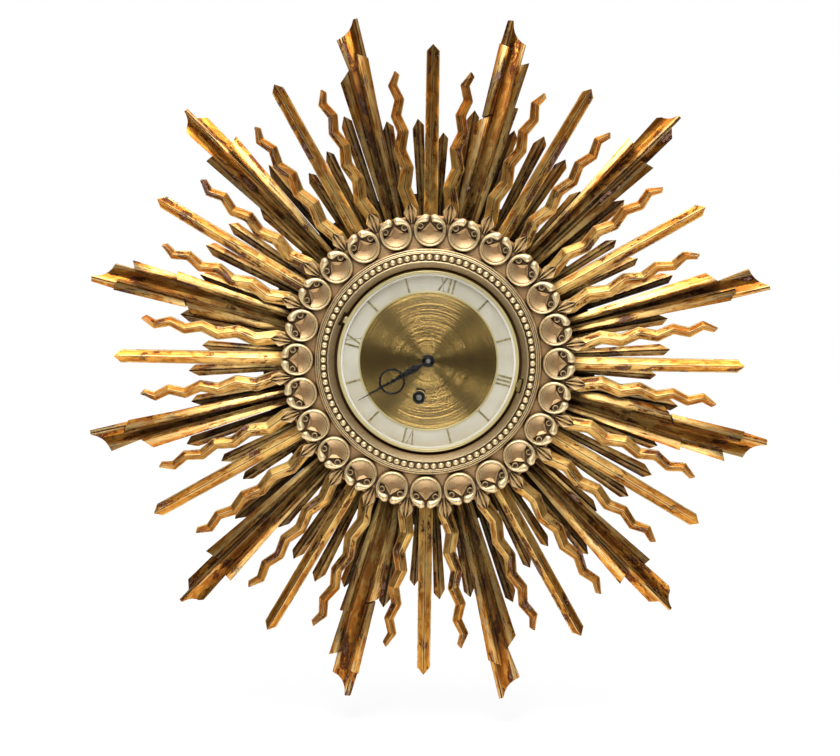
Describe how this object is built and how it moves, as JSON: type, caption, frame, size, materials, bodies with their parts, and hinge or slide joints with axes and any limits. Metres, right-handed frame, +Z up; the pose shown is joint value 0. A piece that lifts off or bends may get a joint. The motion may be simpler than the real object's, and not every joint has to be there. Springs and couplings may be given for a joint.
{
  "type": "sunburst wall clock",
  "caption": "Round wall clock in a gilt sunburst of straight, wavy and winged rays, with a scrolled and beaded ring, hinged glass and a wound movement.",
  "frame": {"origin": "where the dial's axis meets the wall plane, on the outer face of the retaining strap", "axes": "+Z up, -Y out of the dial toward the room, +X to the right as seen from the room"},
  "size_m": [0.6102, 0.0562, 0.6102],
  "materials": {
    "antique_gilt": "burnished gold over brown, rubbed through at the edges",
    "bronze_gilt": "matt bronze gold",
    "brass": "lacquered",
    "steel": "plain",
    "blued_steel": "blued spring steel",
    "silvered_dial": "silvered, satin",
    "brushed_brass": "turned in fine circles",
    "gilt_numerals": "satin gilt",
    "black_enamel": "semi-gloss black",
    "clear_glass": "clear, bevelled edge"
  },
  "bodies": {
    "frame": {"hub_core": "antique_gilt", "rear_rays": "antique_gilt", "wing_blades": "antique_gilt", "wing_slats": "antique_gilt", "straight_rays": "antique_gilt", "wavy_rays": "antique_gilt", "hub_moulding": "bronze_gilt", "bead_row": "bronze_gilt", "scroll_rims": "bronze_gilt", "scroll_cups": "bronze_gilt", "leaf_buds": "bronze_gilt", "case_can": "brass", "back_cover": "brass", "retaining_strap": "steel", "strap_screws": "steel", "hanger_plate": "steel", "hanger_screws": "steel", "dial_plate": "silvered_dial", "dial_centre": "brushed_brass", "dial_trim": "silvered_dial", "numerals": "gilt_numerals", "winding_grommet": "black_enamel", "dial_feet": "brass", "hinge_base": "brass", "hinge_pin": "steel", "front_plate": "brass", "back_plate": "brass", "pillars": "brass", "pillar_nuts": "steel", "balance_bush": "brass", "minute_stud": "steel", "click_screw": "steel", "click_spring": "blued_steel", "hairspring": "blued_steel"},
    "bezel_door": {"bezel": "brass", "glass": "clear_glass", "glass_ring": "brass", "hinge_leaf": "brass"},
    "minute_arbor": {"centre_wheel": "brass", "cannon_pinion": "brass", "minute_hand": "black_enamel", "hand_nut": "steel"},
    "hour_pipe": {"hour_wheel": "brass", "hour_hand": "black_enamel"},
    "motion_wheel": {"minute_wheel": "brass"},
    "second_arbor": {"second_wheel": "brass"},
    "spring_barrel": {"barrel": "brass", "barrel_lid": "brass", "mainspring": "blued_steel"},
    "winding_shaft": {"barrel_arbor": "steel", "ratchet_wheel": "steel"},
    "ratchet_click": {"click": "steel"},
    "third_arbor": {"third_wheel": "brass"},
    "fourth_arbor": {"fourth_wheel": "brass"},
    "escape_arbor": {"escape_wheel": "steel"},
    "pallet_arbor": {"pallet_fork": "steel"},
    "balance_staff": {"balance_wheel": "brass"},
    "regulator_lever": {"regulator": "steel"}
  },
  "joints": [
    {"name": "bezel_hinge", "type": "hinge", "parent": "frame", "child": "bezel_door", "pos_m": [0.0818, -0.0482, -0.01994], "axis": [0.2368, 0, 0.9715], "range_deg": [0, 95]},
    {"name": "minute_hand_turn", "type": "hinge", "parent": "frame", "child": "minute_arbor", "pos_m": [0, -0.02, 0], "axis": [0, 1, 0], "continuous": true},
    {"name": "hour_hand_turn", "type": "hinge", "parent": "frame", "child": "hour_pipe", "pos_m": [0, -0.02, 0], "axis": [0, 1, 0], "continuous": true},
    {"name": "minute_wheel_turn", "type": "hinge", "parent": "frame", "child": "motion_wheel", "pos_m": [0.01193, -0.02, 0.00132], "axis": [0, 1, 0], "continuous": true},
    {"name": "second_wheel_turn", "type": "hinge", "parent": "frame", "child": "second_arbor", "pos_m": [0.00741, -0.02, -0.01541], "axis": [0, 1, 0], "continuous": true},
    {"name": "barrel_turn", "type": "hinge", "parent": "frame", "child": "spring_barrel", "pos_m": [-0.00793, -0.02, -0.03255], "axis": [0, 1, 0], "continuous": true},
    {"name": "winding_turn", "type": "hinge", "parent": "frame", "child": "winding_shaft", "pos_m": [-0.00793, -0.02, -0.03255], "axis": [0, 1, 0], "range_deg": [0, 1980]},
    {"name": "click_lift", "type": "hinge", "parent": "frame", "child": "ratchet_click", "pos_m": [-0.02284, -0.02, -0.03419], "axis": [0, 1, 0], "range_deg": [-12, 0], "stiffness_Nm_per_rad": 0.001},
    {"name": "third_wheel_turn", "type": "hinge", "parent": "frame", "child": "third_arbor", "pos_m": [-0.01157, -0.02, 0.01105], "axis": [0, 1, 0], "continuous": true},
    {"name": "fourth_wheel_turn", "type": "hinge", "parent": "frame", "child": "fourth_arbor", "pos_m": [-0.00162, -0.02, 0.02146], "axis": [0, 1, 0], "continuous": true},
    {"name": "escape_wheel_turn", "type": "hinge", "parent": "frame", "child": "escape_arbor", "pos_m": [0.01266, -0.02, 0.01798], "axis": [0, 1, 0], "continuous": true},
    {"name": "pallet_rock", "type": "hinge", "parent": "frame", "child": "pallet_arbor", "pos_m": [0.02087, -0.02, 0.02297], "axis": [0, 1, 0], "range_deg": [-4, 4]},
    {"name": "balance_swing", "type": "hinge", "parent": "frame", "child": "balance_staff", "pos_m": [0.03026, -0.02, 0.02869], "axis": [0, 1, 0], "range_deg": [-135, 135], "stiffness_Nm_per_rad": 0.0000175},
    {"name": "regulator_shift", "type": "hinge", "parent": "frame", "child": "regulator_lever", "pos_m": [0.03026, -0.02, 0.02869], "axis": [0, 1, 0], "range_deg": [-25, 25]}
  ],
  "couplings": [
    {"joint": "hour_hand_turn", "follows": "minute_hand_turn", "ratio": 0.083333},
    {"joint": "minute_wheel_turn", "follows": "minute_hand_turn", "ratio": -0.33333},
    {"joint": "second_wheel_turn", "follows": "minute_hand_turn", "ratio": -0.1875},
    {"joint": "barrel_turn", "follows": "minute_hand_turn", "ratio": 0.028125},
    {"joint": "third_wheel_turn", "follows": "minute_hand_turn", "ratio": -9},
    {"joint": "fourth_wheel_turn", "follows": "minute_hand_turn", "ratio": 72},
    {"joint": "escape_wheel_turn", "follows": "minute_hand_turn", "ratio": -600}
  ]
}
